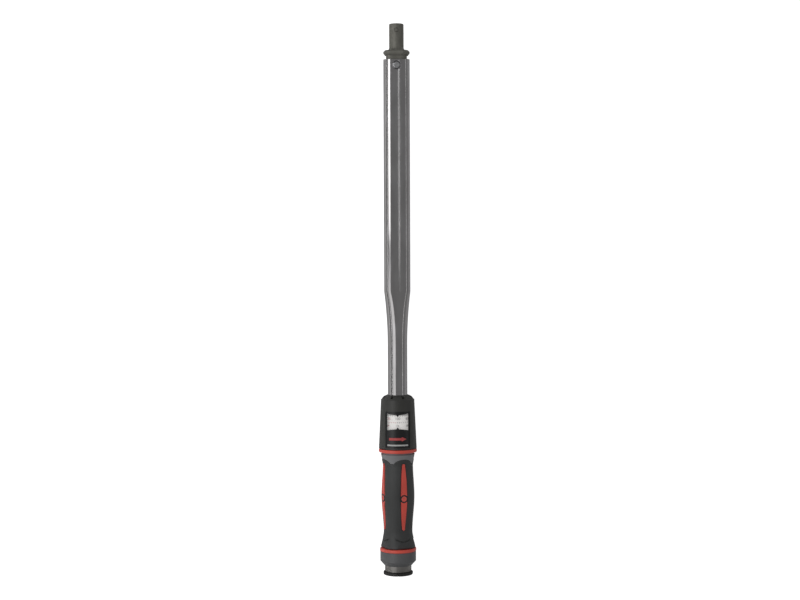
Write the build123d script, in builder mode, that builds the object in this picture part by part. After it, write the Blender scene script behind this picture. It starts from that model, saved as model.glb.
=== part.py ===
from build123d import *
import math
import os

# Click-type torque handle with a 16 mm spigot for plug-in heads. All sizes are in millimetres.
# Finished, it lies on its back as on a bench: +X runs along the wrench from the knob to the spigot,
# the scale window faces +Z, and the origin is on the bench under the middle of its length.
# Each piece is drawn standing on the knob, with Z along the wrench from the knob's end and the
# window facing -Y, because nearly everything is turned about that axis. save() then lays it down.

# Spigot and lever, one forging
SPIGOT_R = 8.0
SPIGOT_TOP = 605.8
SPIGOT_FILLET = 3.0
FLANGE_TOP = 576.8
FLANGE_MID = 575.1
FLANGE_LOW = 573.5
NECK_LOW = 571.3
FLANGE_SLOPE = 1.7
FLANGE_SLOPE_DEPTH = 1.0
NECK_WIDTH = 22.9
LEVER_DEPTH = 16.0
LEVER_CORNER = 5.5
TAIL_WIDTH = 13.6
TONGUE_END = 545.0
TAPER_END = 525.0
TAIL_END = 450.0
DETENT_Z = 598.6
DETENT_R = 2.3
DETENT_FRONT = 7.9
DETENT_BACK = 2.6
DETENT_BORE_END = 5.0

# Outer tube: round below, swaged to a rounded rectangle above
TUBE_R = 10.75
TUBE_WALL = 2.0
TUBE_LOW = 22.0
TUBE_TOP = 566.9
SWAGE_LOW = 252.7
SWAGE_TOP = 313.2
SWAGE_STEPS = 10
HEAD_WIDTH = 28.9
HEAD_DEPTH = 22.0
HEAD_CORNER = 8.8
BORE_R = TUBE_R - TUBE_WALL

# Pivot of the lever
PIVOT_Z = 560.3
PIVOT_R = 4.0
PIVOT_CHAMFER = 0.75
WASHER_R = 6.2
WASHER_THICK = 0.9

# Clearances
RUN = 0.05
SEAT = 0.02

# Trip block and plunger
BLOCK = 8.0
BLOCK_DEPTH = 10.0
BLOCK_ROUND = 1.0
BLOCK_GAP = 0.4
POCKET_DEPTH = 1.0
POCKET_WIDTH = 8.8
PLUNGER_R = 7.0 - RUN
PLUNGER_HEAD_LOW = 396.0
GUIDE_LOW = 400.0
GUIDE_TOP = 430.0
ROD_R = 4.0
CUP_TOP = 262.0
CUP_LOW = 252.0
CUP_NOSE_LOW = 240.0

# Load train on the lead screw
SCREW_R = 5.0
SCREW_TOP = 190.0
NUT_LOW = 150.0
NUT_TOP = 162.0
SPRING_SEAT = 2.0
WIRE_R = 1.5
SPRING_TURNS = 14
SPRING_MEAN_R = BORE_R - 0.4 - WIRE_R
KEY_R = 1.6
KEY_Z = 156.0
TRAVEL_DOWN = 12.0
TRAVEL_UP = 18.0
SLOT_WIDTH = 3.4

# Thrust bearing and end plug
PLUG_TOP = 34.0
RACE = 1.2
BALL_R = 1.28
BALL_CIRCLE_R = 6.6
BALL_COUNT = 12
SHAFT_R = 4.5
THRUST_FLANGE = 3.0
PLUG_PIN_Z = 28.0
PLUG_PIN_R = 1.5

# Scale housing, window and drum
HOUSING_LOW = 140.5
HOUSING_TOP = 194.2
HOUSING_R_LOW = 20.9
HOUSING_R_TOP = 18.4
HOUSING_BORE_R = 16.5
COLLAR_TOP = 199.3
COLLAR_STEP = 3.4
COLLAR_STEP_R = 15.4
COLLAR_END_R = 11.7
NOTCHES = 8
NOTCH_LENGTH = 9.5
NOTCH_WIDTH = 2.4
NOTCH_CIRCLE_R = 17.4
NOTCH_FLOOR = 1.4
PANEL_WIDTH = 26.6
PANEL_LOW = 142.0
PANEL_TOP = 182.0
PANEL_SINK = 0.5
PANEL_THICK = 1.0
WINDOW_WIDTH = 22.9
WINDOW_LOW = 161.5
WINDOW_TOP = 179.7
WINDOW_BOW = 1.3
MARK_BASE = 3.5
MARK_HEIGHT = 2.4
LENS_THICK = 0.8
DRUM_R = 16.0
DRUM_WALL = 1.5
DRUM_LOW = 153.0
DRUM_TOP = 186.0
CARRIER_R = 13.9

# Grip
RED_UPPER_LOW = 136.0
RED_UPPER_TOP = 139.7
RED_UPPER_R = 21.0
CORE_NECK_R = 17.0
CORE_TOP = 143.0
CORE_SLEEVE_R = 12.9
FLARE_LOW = 124.0
FLARE_LOW_R = 16.45
FLARE_TOP = 133.9
FLARE_TOP_R = 18.7
GRIP_LOW = 30.5
GRIP_PROFILE = [(30.5, 19.2), (38.0, 17.6), (49.0, 15.85), (85.5, 18.2), (112.0, 17.0), (124.0, 16.45)]
GRIP_FLAT = 17.3
INSERT_LOW = 50.8
INSERT_TOP = 124.3
INSERT_HALF_END = 1.5
INSERT_HALF_MID = 3.45
INSERT_PROUD = 0.45
INSERT_SINK = 1.4
INSERT_ANGLES = [-67.5, 22.5, 112.5, 202.5]
RED_LOWER_LOW = 26.1
RED_LOWER_TOP = 29.7
RED_LOWER_R = 20.0
RED_EDGE = 0.9

# Rear collar, knob and cap
COLLAR_R = 19.75
COLLAR_LOW = 10.6
COLLAR_CHAMFER_TOP = 15.5
COLLAR_WEB = 21.0
COLLAR_BORE_R = 15.05
SEAL_GROOVE = 1.8
SEAL_DEPTH = 0.85
SEAL_WIRE_R = 0.55
KNOB_LOW = 4.1
KNOB_TOP = 19.5
KNOB_R = 14.7
KNOB_R_LOW = 14.4
KNOB_SKIRT_R = 11.5
HUB_R = 7.5
HUB_LOW = 11.0
HUB_TOP = 18.0
HEX_FLATS = 7.0
KNOB_PULL = 5.0
DETENT_BALL_R = 1.2
DETENT_BALL_Z = HUB_TOP - 2.6
CLIP_THICK = 0.9
CLIP_WIDTH = 1.2
CLIP_GAP = 3.0
CAP_R = 16.3
CAP_TOP = 3.5
CAP_CHAMFER = 0.7
CAP_FILLET = 0.9
CAP_NOTCH = 1.8
CAP_NOTCH_DEPTH = 2.6
SCREW_HEAD_R = 5.0
SCREW_HEAD = 1.4
SCREW_SHANK_R = 1.6
SCREW_LENGTH = 8.0

# From standing on the knob to lying on its back on the upper red ring
LAID_DOWN = Plane(origin=(-SPIGOT_TOP / 2, 0, RED_UPPER_R), x_dir=(0, -1, 0), z_dir=(1, 0, 0)).location

os.makedirs("parts", exist_ok=True)


def save(piece, name):
    """Lay a finished piece down with the others, label it and write it under its node name."""
    piece.part.move(LAID_DOWN)
    piece.part.label = name
    export_step(piece.part, f"parts/{name}.step")


def tube_section(share, inset):
    """Width, depth and corner radius of the tube, from its round end (0) to its head's section (1)."""
    half_width = TUBE_R + (HEAD_WIDTH / 2 - TUBE_R) * share**2
    half_depth = TUBE_R + (HEAD_DEPTH / 2 - TUBE_R) * share
    corner = half_depth - RUN - (half_depth - RUN - HEAD_CORNER) * share**4
    return 2 * (half_width - inset), 2 * (half_depth - inset), corner - inset


def housing_radius(z):
    """Outer radius of the tapered housing at height z."""
    share = (z - HOUSING_LOW) / (HOUSING_TOP - HOUSING_LOW)
    return HOUSING_R_LOW + (HOUSING_R_TOP - HOUSING_R_LOW) * share


def housing_shell(low, top, outer_sink, inner_sink):
    """A stretch of the housing's tapered wall between two depths below its surface."""
    with BuildPart() as shell:
        with BuildSketch(Plane.XZ):
            Polygon(
                (housing_radius(low) - inner_sink, low),
                (housing_radius(low) - outer_sink, low),
                (housing_radius(top) - outer_sink, top),
                (housing_radius(top) - inner_sink, top),
                align=None,
            )
        revolve(axis=Axis.Z)
    return shell.part


def front_block(width, low, top):
    """A block that covers the front half of the tool, from the axis forwards."""
    with BuildPart() as block:
        with BuildSketch(Plane.XZ):
            with Locations((0, (low + top) / 2)):
                Rectangle(width, top - low)
        extrude(amount=30.0)
    return block.part


# ---------------------------------------------------------------- outer tube
tube_stations = [(TUBE_LOW, 0)]
for step in range(SWAGE_STEPS + 1):
    share = step / SWAGE_STEPS
    tube_stations.append((SWAGE_LOW + share * (SWAGE_TOP - SWAGE_LOW), share))
tube_stations.append((TUBE_TOP, 1))

with BuildPart() as outer_tube:
    for inset, mode in ((0, Mode.ADD), (TUBE_WALL, Mode.SUBTRACT)):
        for z, share in tube_stations:
            with BuildSketch(Plane.XY.offset(z)):
                RectangleRounded(*tube_section(share, inset))
        loft(ruled=True, mode=mode)
    # holes for the pivot pin, each with a bright countersunk rim
    for face in (-1, 1):
        with Locations(Plane(origin=(0, face * HEAD_DEPTH / 2, PIVOT_Z), z_dir=(0, face, 0))):
            CounterSinkHole(
                radius=PIVOT_R + SEAT,
                counter_sink_radius=PIVOT_R + SEAT + PIVOT_CHAMFER,
                depth=HEAD_DEPTH / 2,
                counter_sink_angle=90,
            )
    # slots for the keys of the load nut, and holes for the pins of the end plug
    with BuildSketch(Plane.YZ):
        with Locations((0, KEY_Z + (TRAVEL_UP - TRAVEL_DOWN) / 2)):
            SlotCenterToCenter(TRAVEL_UP + TRAVEL_DOWN + 0.4, SLOT_WIDTH, rotation=90)
        with Locations((0, PLUG_PIN_Z)):
            Circle(PLUG_PIN_R + SEAT)
    extrude(amount=TUBE_R + 1, both=True, mode=Mode.SUBTRACT)
save(outer_tube, "outer_tube")

# ---------------------------------------------------------------- spigot lever
with BuildPart() as spigot_lever:
    with BuildSketch(Plane.XY.offset(TAIL_END)):
        RectangleRounded(TAIL_WIDTH, LEVER_DEPTH, LEVER_CORNER)
    extrude(amount=TAPER_END - TAIL_END)
    with BuildSketch(Plane.XY.offset(TAPER_END)):
        RectangleRounded(TAIL_WIDTH, LEVER_DEPTH, LEVER_CORNER)
    with BuildSketch(Plane.XY.offset(TONGUE_END)):
        RectangleRounded(NECK_WIDTH, LEVER_DEPTH, LEVER_CORNER)
    loft(ruled=True)
    with BuildSketch(Plane.XY.offset(TONGUE_END)):
        RectangleRounded(NECK_WIDTH, LEVER_DEPTH, LEVER_CORNER)
    extrude(amount=NECK_LOW - TONGUE_END)
    # flange: a chamfered lens of the tube's width, rounded at both tips
    for low, high, narrow in ((NECK_LOW, FLANGE_LOW, -1), (FLANGE_MID, FLANGE_TOP, 1)):
        wide = Plane.XY.offset(high if narrow < 0 else low)
        slim = Plane.XY.offset(low if narrow < 0 else high)
        with BuildSketch(wide):
            RectangleRounded(HEAD_WIDTH, HEAD_DEPTH, HEAD_CORNER)
        with BuildSketch(slim):
            RectangleRounded(
                HEAD_WIDTH - 2 * FLANGE_SLOPE,
                HEAD_DEPTH - 2 * FLANGE_SLOPE_DEPTH,
                HEAD_CORNER - FLANGE_SLOPE_DEPTH,
            )
        loft(ruled=True)
    with BuildSketch(Plane.XY.offset(FLANGE_LOW)):
        RectangleRounded(HEAD_WIDTH, HEAD_DEPTH, HEAD_CORNER)
    extrude(amount=FLANGE_MID - FLANGE_LOW)
    # root of the spigot: a concave ring, cut flat front and back by the flange
    with BuildSketch(Plane.XZ):
        with BuildLine():
            Line((0, FLANGE_TOP), (SPIGOT_R + SPIGOT_FILLET, FLANGE_TOP))
            RadiusArc(
                (SPIGOT_R + SPIGOT_FILLET, FLANGE_TOP),
                (SPIGOT_R, FLANGE_TOP + SPIGOT_FILLET),
                SPIGOT_FILLET,
            )
            Line((SPIGOT_R, FLANGE_TOP + SPIGOT_FILLET), (0, FLANGE_TOP + SPIGOT_FILLET))
            Line((0, FLANGE_TOP + SPIGOT_FILLET), (0, FLANGE_TOP))
        make_face()
    revolve(axis=Axis.Z)
    for face in (-1, 1):
        with Locations((0, face * (HEAD_DEPTH / 2 + 1.5), FLANGE_TOP)):
            Box(
                HEAD_WIDTH,
                5.0,
                SPIGOT_FILLET,
                align=(Align.CENTER, Align.CENTER, Align.MIN),
                mode=Mode.SUBTRACT,
            )
    with BuildSketch(Plane.XY.offset(FLANGE_TOP)):
        Circle(SPIGOT_R)
    extrude(amount=SPIGOT_TOP - FLANGE_TOP)
    chamfer(spigot_lever.edges().group_by(Axis.Z)[-1], length=0.6)
    # bores for the pivot pin and for the detent pin
    with BuildSketch(Plane.XZ):
        with Locations((0, PIVOT_Z)):
            Circle(PIVOT_R + RUN)
    extrude(amount=HEAD_DEPTH, both=True, mode=Mode.SUBTRACT)
    with BuildSketch(Plane.XZ.offset(-DETENT_BORE_END)):
        with Locations((0, DETENT_Z)):
            Circle(DETENT_R + RUN)
    extrude(amount=DETENT_BORE_END + SPIGOT_R + 1, mode=Mode.SUBTRACT)
save(spigot_lever, "spigot_lever")

# ---------------------------------------------------------------- spigot detent
with BuildPart() as detent_pin:
    with BuildSketch(Plane.XZ.offset(DETENT_BACK)):
        with Locations((0, DETENT_Z)):
            Circle(DETENT_R)
    extrude(amount=DETENT_FRONT - DETENT_BACK)
    fillet(detent_pin.edges().group_by(Axis.Y)[0], radius=1.1)
save(detent_pin, "detent_pin")

with BuildPart() as detent_spring:
    detent_wire = 0.35
    detent_coil = DETENT_R - 0.15 - detent_wire
    detent_length = DETENT_BORE_END + DETENT_BACK - 2 * detent_wire - 0.1
    with BuildLine():
        detent_path = Helix(
            pitch=detent_length / 5,
            height=detent_length,
            radius=detent_coil,
            center=(0, DETENT_BORE_END - detent_wire - 0.05, DETENT_Z),
            direction=(0, -1, 0),
        )
    with BuildSketch(Plane(origin=detent_path @ 0, z_dir=detent_path % 0)):
        Circle(detent_wire)
    sweep(path=detent_path, is_frenet=True)
save(detent_spring, "detent_spring")

# ---------------------------------------------------------------- lever pivot
with BuildPart() as pivot_pin:
    with BuildSketch(Plane.XZ.offset(-(HEAD_DEPTH / 2 - 0.3))):
        with Locations((0, PIVOT_Z)):
            Circle(PIVOT_R)
    extrude(amount=HEAD_DEPTH - 0.6)
    chamfer(pivot_pin.edges().filter_by(GeomType.CIRCLE), length=0.4)
save(pivot_pin, "pivot_pin")

for washer_name, face in (("pivot_washer_front", -1), ("pivot_washer_back", 1)):
    with BuildPart() as pivot_washer:
        with BuildSketch(Plane.XZ.offset(-face * (HEAD_DEPTH / 2 - TUBE_WALL - 0.5))):
            with Locations((0, PIVOT_Z)):
                Circle(WASHER_R)
                Circle(PIVOT_R + RUN, mode=Mode.SUBTRACT)
        extrude(amount=WASHER_THICK / 2, both=True)
    save(pivot_washer, washer_name)

# ---------------------------------------------------------------- trip block and plunger
block_low = TAIL_END - BLOCK_GAP - BLOCK
with BuildPart() as trip_block:
    with BuildSketch(Plane.XZ.offset(-BLOCK_DEPTH / 2)):
        with Locations((0, block_low + BLOCK / 2)):
            RectangleRounded(BLOCK, BLOCK, BLOCK_ROUND)
    extrude(amount=BLOCK_DEPTH)
save(trip_block, "trip_block")

with BuildPart() as plunger:
    with BuildSketch(Plane.XY.offset(PLUNGER_HEAD_LOW)):
        Circle(PLUNGER_R)
    extrude(amount=block_low + POCKET_DEPTH - PLUNGER_HEAD_LOW)
    with Locations((0, 0, block_low)):
        Box(
            POCKET_WIDTH,
            2 * PLUNGER_R,
            POCKET_DEPTH,
            align=(Align.CENTER, Align.CENTER, Align.MIN),
            mode=Mode.SUBTRACT,
        )
    with BuildSketch(Plane.XY.offset(CUP_LOW + 4)):
        Circle(ROD_R)
    extrude(amount=PLUNGER_HEAD_LOW - CUP_LOW - 4)
save(plunger, "plunger")

with BuildPart() as plunger_guide:
    with BuildSketch(Plane.XY.offset(GUIDE_LOW)):
        RectangleRounded(
            HEAD_WIDTH - 2 * TUBE_WALL - 2 * SEAT,
            HEAD_DEPTH - 2 * TUBE_WALL - 2 * SEAT,
            HEAD_CORNER - TUBE_WALL - SEAT,
        )
        Circle(PLUNGER_R + RUN, mode=Mode.SUBTRACT)
    extrude(amount=GUIDE_TOP - GUIDE_LOW)
save(plunger_guide, "plunger_guide")

with BuildPart() as spring_cup:
    with BuildSketch(Plane.XY.offset(CUP_LOW)):
        Circle(BORE_R - 0.35)
    extrude(amount=CUP_TOP - CUP_LOW)
    with BuildSketch(Plane.XY.offset(CUP_NOSE_LOW)):
        Circle(SPRING_MEAN_R - WIRE_R - 0.4)
    extrude(amount=CUP_LOW - CUP_NOSE_LOW)
    with BuildSketch(Plane.XY.offset(CUP_LOW + 4)):
        Circle(ROD_R + SEAT)
    extrude(amount=CUP_TOP - CUP_LOW, mode=Mode.SUBTRACT)
save(spring_cup, "spring_cup")

# ---------------------------------------------------------------- main spring
spring_low = NUT_TOP + SPRING_SEAT
with BuildPart() as main_spring:
    spring_height = CUP_LOW - spring_low - 2 * WIRE_R - 0.2
    with BuildLine():
        spring_path = Helix(
            pitch=spring_height / SPRING_TURNS,
            height=spring_height,
            radius=SPRING_MEAN_R,
            center=(0, 0, spring_low + WIRE_R + 0.1),
        )
    with BuildSketch(Plane(origin=spring_path @ 0, z_dir=spring_path % 0)):
        Circle(WIRE_R)
    sweep(path=spring_path, is_frenet=True)
save(main_spring, "main_spring")

with BuildPart() as spring_washer:
    with BuildSketch(Plane.XY.offset(NUT_TOP)):
        Circle(BORE_R - 0.35)
        Circle(SCREW_R + 0.35, mode=Mode.SUBTRACT)
    extrude(amount=SPRING_SEAT)
save(spring_washer, "spring_washer")

# ---------------------------------------------------------------- load nut, keys and scale carrier
with BuildPart() as load_nut:
    with BuildSketch(Plane.XY.offset(NUT_LOW)):
        Circle(BORE_R - RUN)
        Circle(SCREW_R + RUN, mode=Mode.SUBTRACT)
    extrude(amount=NUT_TOP - NUT_LOW)
    with BuildSketch(Plane.YZ):
        with Locations((0, KEY_Z)):
            Circle(KEY_R + SEAT)
    extrude(amount=TUBE_R, both=True, mode=Mode.SUBTRACT)
save(load_nut, "load_nut")

with BuildPart() as load_keys:
    for side in (-1, 1):
        with BuildSketch(Plane.YZ.offset(side * (SCREW_R + 0.6))):
            with Locations((0, KEY_Z)):
                Circle(KEY_R)
        extrude(amount=side * (CARRIER_R - 0.4 - SCREW_R - 0.6))
save(load_keys, "load_keys")

with BuildPart() as scale_carrier:
    with BuildSketch(Plane.XY.offset(KEY_Z - 5)):
        Circle(CARRIER_R)
        Circle(TUBE_R + 0.3, mode=Mode.SUBTRACT)
    extrude(amount=10)
    with BuildSketch(Plane.YZ):
        with Locations((0, KEY_Z)):
            Circle(KEY_R + SEAT)
    extrude(amount=CARRIER_R + 1, both=True, mode=Mode.SUBTRACT)
save(scale_carrier, "scale_carrier")

# ---------------------------------------------------------------- lead screw and its thrust bearing
race_top = PLUG_TOP + 2 * RACE + 2 * (BALL_R + SEAT)
with BuildPart() as lead_screw:
    with BuildSketch(Plane.XY.offset(HUB_LOW - KNOB_PULL - 0.2)):
        RegularPolygon(HEX_FLATS / 2, 6, major_radius=False)
    extrude(amount=HUB_TOP + 2 - HUB_LOW + KNOB_PULL + 0.2)
    with BuildSketch(Plane.XY.offset(HUB_TOP + 2)):
        Circle(SHAFT_R)
    extrude(amount=race_top - HUB_TOP - 2)
    with BuildSketch(Plane.XY.offset(race_top)):
        Circle(BORE_R - 0.35)
    extrude(amount=THRUST_FLANGE)
    with BuildSketch(Plane.XY.offset(race_top + THRUST_FLANGE)):
        Circle(SCREW_R)
    extrude(amount=SCREW_TOP - race_top - THRUST_FLANGE)
    chamfer(lead_screw.edges().group_by(Axis.Z)[-1], length=0.8)
    with BuildSketch(Plane.XY.offset(HUB_LOW - KNOB_PULL - 0.2)):
        Circle(SCREW_SHANK_R + SEAT)
    extrude(amount=SCREW_LENGTH + 1, mode=Mode.SUBTRACT)
save(lead_screw, "lead_screw")

for race_name, race_low, bore in (
    ("thrust_race_lower", PLUG_TOP, SHAFT_R + 0.3),
    ("thrust_race_upper", race_top - RACE, SHAFT_R + SEAT),
):
    with BuildPart() as thrust_race:
        with BuildSketch(Plane.XY.offset(race_low)):
            Circle(BORE_R - 0.35)
            Circle(bore, mode=Mode.SUBTRACT)
        extrude(amount=RACE)
    save(thrust_race, race_name)

ball_z = PLUG_TOP + RACE + BALL_R + SEAT
with BuildPart() as thrust_balls:
    with Locations((0, 0, ball_z)):
        with PolarLocations(BALL_CIRCLE_R, BALL_COUNT):
            Sphere(BALL_R)
save(thrust_balls, "thrust_balls")

with BuildPart() as ball_cage:
    with BuildSketch(Plane.XY.offset(ball_z - 0.5)):
        Circle(BORE_R - 0.35)
        Circle(SHAFT_R + 0.35, mode=Mode.SUBTRACT)
        with PolarLocations(BALL_CIRCLE_R, BALL_COUNT):
            Circle(BALL_R + RUN, mode=Mode.SUBTRACT)
    extrude(amount=1.0)
save(ball_cage, "ball_cage")

with BuildPart() as end_plug:
    with BuildSketch(Plane.XY.offset(TUBE_LOW)):
        Circle(BORE_R - SEAT)
        Circle(SHAFT_R + RUN, mode=Mode.SUBTRACT)
    extrude(amount=PLUG_TOP - TUBE_LOW)
    with BuildSketch(Plane.YZ):
        with Locations((0, PLUG_PIN_Z)):
            Circle(PLUG_PIN_R + SEAT)
    extrude(amount=TUBE_R, both=True, mode=Mode.SUBTRACT)
save(end_plug, "end_plug")

with BuildPart() as plug_pins:
    for side in (-1, 1):
        with BuildSketch(Plane.YZ.offset(side * (SHAFT_R + 0.8))):
            with Locations((0, PLUG_PIN_Z)):
                Circle(PLUG_PIN_R)
        extrude(amount=side * (TUBE_R - 0.15 - SHAFT_R - 0.8))
save(plug_pins, "plug_pins")

# ---------------------------------------------------------------- scale housing
with BuildPart() as scale_housing:
    with BuildSketch(Plane.XZ):
        Polygon(
            (CORE_NECK_R + RUN, HOUSING_LOW),
            (HOUSING_R_LOW, HOUSING_LOW),
            (HOUSING_R_TOP, HOUSING_TOP),
            (TUBE_R + RUN, HOUSING_TOP),
            (TUBE_R + RUN, DRUM_TOP + 2),
            (HOUSING_BORE_R, DRUM_TOP + 2),
            (HOUSING_BORE_R, CORE_TOP + 0.2),
            (CORE_NECK_R + RUN, CORE_TOP + 0.2),
            align=None,
        )
    revolve(axis=Axis.Z)
    add(
        housing_shell(PANEL_LOW, PANEL_TOP, -1.0, PANEL_SINK + PANEL_THICK)
        & front_block(PANEL_WIDTH, PANEL_LOW, PANEL_TOP),
        mode=Mode.SUBTRACT,
    )
    add(front_block(WINDOW_WIDTH + 1.4, WINDOW_LOW - 0.7, WINDOW_TOP + 0.7), mode=Mode.SUBTRACT)
save(scale_housing, "scale_housing")

with BuildPart() as window_panel:
    add(
        housing_shell(PANEL_LOW + RUN, PANEL_TOP - RUN, PANEL_SINK, PANEL_SINK + PANEL_THICK - SEAT)
        & front_block(PANEL_WIDTH - 2 * RUN, PANEL_LOW, PANEL_TOP)
    )
    # the opening: bowed top and bottom edges, each with a pointer at the middle
    with BuildSketch(Plane.XZ):
        with BuildLine():
            Line((-WINDOW_WIDTH / 2, WINDOW_LOW), (-WINDOW_WIDTH / 2, WINDOW_TOP))
            ThreePointArc(
                (-WINDOW_WIDTH / 2, WINDOW_TOP),
                (0, WINDOW_TOP - WINDOW_BOW),
                (WINDOW_WIDTH / 2, WINDOW_TOP),
            )
            Line((WINDOW_WIDTH / 2, WINDOW_TOP), (WINDOW_WIDTH / 2, WINDOW_LOW))
            ThreePointArc(
                (WINDOW_WIDTH / 2, WINDOW_LOW),
                (0, WINDOW_LOW + WINDOW_BOW),
                (-WINDOW_WIDTH / 2, WINDOW_LOW),
            )
        make_face()
        for edge, way in ((WINDOW_TOP - WINDOW_BOW + 0.3, -1), (WINDOW_LOW + WINDOW_BOW - 0.3, 1)):
            Polygon(
                (-MARK_BASE / 2, edge),
                (MARK_BASE / 2, edge),
                (0, edge + way * (MARK_HEIGHT + 0.3)),
                align=None,
                mode=Mode.SUBTRACT,
            )
    extrude(amount=30.0, mode=Mode.SUBTRACT)
save(window_panel, "window_panel")

with BuildPart() as window_lens:
    add(
        housing_shell(
            WINDOW_LOW - 0.6,
            WINDOW_TOP + 0.6,
            PANEL_SINK + PANEL_THICK + SEAT,
            PANEL_SINK + PANEL_THICK + LENS_THICK,
        )
        & front_block(WINDOW_WIDTH + 1.2, WINDOW_LOW - 0.6, WINDOW_TOP + 0.6)
    )
save(window_lens, "window_lens")

with BuildPart() as scale_drum:
    with BuildSketch(Plane.XY.offset(DRUM_LOW)):
        Circle(DRUM_R)
        Circle(DRUM_R - DRUM_WALL, mode=Mode.SUBTRACT)
    extrude(amount=DRUM_TOP - DRUM_LOW)
save(scale_drum, "scale_drum")

with BuildPart() as drum_ring:
    with BuildSketch(Plane.XY.offset(CORE_TOP + 0.3)):
        Circle(HOUSING_BORE_R - RUN)
        Circle(CARRIER_R + 0.4, mode=Mode.SUBTRACT)
    extrude(amount=DRUM_LOW - 0.3 - CORE_TOP - 0.3)
save(drum_ring, "drum_ring")

with BuildPart() as housing_collar:
    with BuildSketch(Plane.XZ):
        Polygon(
            (TUBE_R + RUN, HOUSING_TOP),
            (HOUSING_R_TOP - 0.2, HOUSING_TOP),
            (COLLAR_STEP_R, HOUSING_TOP + COLLAR_STEP),
            (COLLAR_END_R, COLLAR_TOP),
            (TUBE_R + RUN, COLLAR_TOP),
            align=None,
        )
    revolve(axis=Axis.Z)
    with BuildSketch(Plane.XY.offset(HOUSING_TOP + NOTCH_FLOOR)):
        with PolarLocations(NOTCH_CIRCLE_R, NOTCHES, start_angle=22.5):
            SlotOverall(NOTCH_LENGTH, NOTCH_WIDTH)
    extrude(amount=COLLAR_TOP - HOUSING_TOP, mode=Mode.SUBTRACT)
save(housing_collar, "housing_collar")

# ---------------------------------------------------------------- red rings
for ring_name, ring_low, ring_top, ring_r, ring_bore in (
    ("red_ring_upper", RED_UPPER_LOW, RED_UPPER_TOP, RED_UPPER_R, CORE_NECK_R + RUN),
    ("red_ring_lower", RED_LOWER_LOW, RED_LOWER_TOP, RED_LOWER_R, TUBE_R + RUN),
):
    with BuildPart() as red_ring:
        with BuildSketch(Plane.XY.offset(ring_low)):
            Circle(ring_r)
            Circle(ring_bore, mode=Mode.SUBTRACT)
        extrude(amount=ring_top - ring_low)
        fillet(red_ring.edges().filter_by(GeomType.CIRCLE).sort_by(SortBy.RADIUS)[-2:], radius=RED_EDGE)
    save(red_ring, ring_name)

# ---------------------------------------------------------------- grip
with BuildPart() as grip_core:
    with BuildSketch(Plane.XZ):
        Polygon(
            (TUBE_R + RUN, GRIP_LOW),
            (CORE_SLEEVE_R, GRIP_LOW),
            (CORE_SLEEVE_R, FLARE_LOW),
            (FLARE_LOW_R, FLARE_LOW),
            (FLARE_TOP_R, FLARE_TOP),
            (CORE_NECK_R, FLARE_TOP),
            (CORE_NECK_R, CORE_TOP),
            (CARRIER_R + 0.4, CORE_TOP),
            (CARRIER_R + 0.4, KEY_Z - 5 - TRAVEL_DOWN - 1.0),
            (TUBE_R + RUN, KEY_Z - 5 - TRAVEL_DOWN - 1.0),
            align=None,
        )
    revolve(axis=Axis.Z)
save(grip_core, "grip_core")


def facing_plane(angle):
    """A plane through the axis that faces outwards at an angle, with its Y along the axis."""
    turn = math.radians(angle)
    return Plane(
        origin=(0, 0, 0),
        x_dir=(-math.sin(turn), math.cos(turn), 0),
        z_dir=(math.cos(turn), math.sin(turn), 0),
    )


def grip_body(grow, bore):
    """The grip's turned form, grown outwards by a distance, with a flat under each insert."""
    points = [(radius + grow, z) for z, radius in GRIP_PROFILE]
    low = GRIP_PROFILE[0][0]
    top = GRIP_PROFILE[-1][0]
    with BuildPart() as body:
        with BuildSketch(Plane.XZ):
            with BuildLine():
                Line((bore, low), points[0])
                Spline(*points)
                Line(points[-1], (bore, top))
                Line((bore, top), (bore, low))
            make_face()
        revolve(axis=Axis.Z)
        for angle in INSERT_ANGLES:
            with BuildSketch(facing_plane(angle).offset(GRIP_FLAT + grow)):
                with Locations((0, (low + top) / 2)):
                    Rectangle(60, top - low)
            extrude(amount=10.0, mode=Mode.SUBTRACT)
    return body.part


def insert_outline(angle, grow):
    """A long lens with rounded ends, standing out from the axis at an angle."""
    half_end = INSERT_HALF_END + grow
    half_mid = INSERT_HALF_MID + grow
    low = INSERT_LOW + INSERT_HALF_END
    top = INSERT_TOP - INSERT_HALF_END
    mid = (low + top) / 2
    with BuildPart() as outline:
        with BuildSketch(facing_plane(angle)):
            with BuildLine():
                ThreePointArc((-half_end, low), (-half_mid, mid), (-half_end, top))
                ThreePointArc((-half_end, top), (0, top + half_end), (half_end, top))
                ThreePointArc((half_end, top), (half_mid, mid), (half_end, low))
                ThreePointArc((half_end, low), (0, low - half_end), (-half_end, low))
            make_face()
        extrude(amount=30.0)
    return outline.part


grip_pocket = grip_body(-INSERT_SINK, 1.0)
insert_skin = grip_body(INSERT_PROUD, 1.0)
grip_skin = grip_body(0, CORE_SLEEVE_R + RUN)

with BuildPart() as soft_grip:
    add(grip_skin)
    for angle in INSERT_ANGLES:
        add(insert_outline(angle, RUN) - grip_pocket, mode=Mode.SUBTRACT)
save(soft_grip, "soft_grip")

for number, angle in enumerate(INSERT_ANGLES, start=1):
    with BuildPart() as grip_insert:
        add((insert_skin & insert_outline(angle, 0)) - grip_pocket)
    save(grip_insert, f"grip_insert_{number}")

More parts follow.
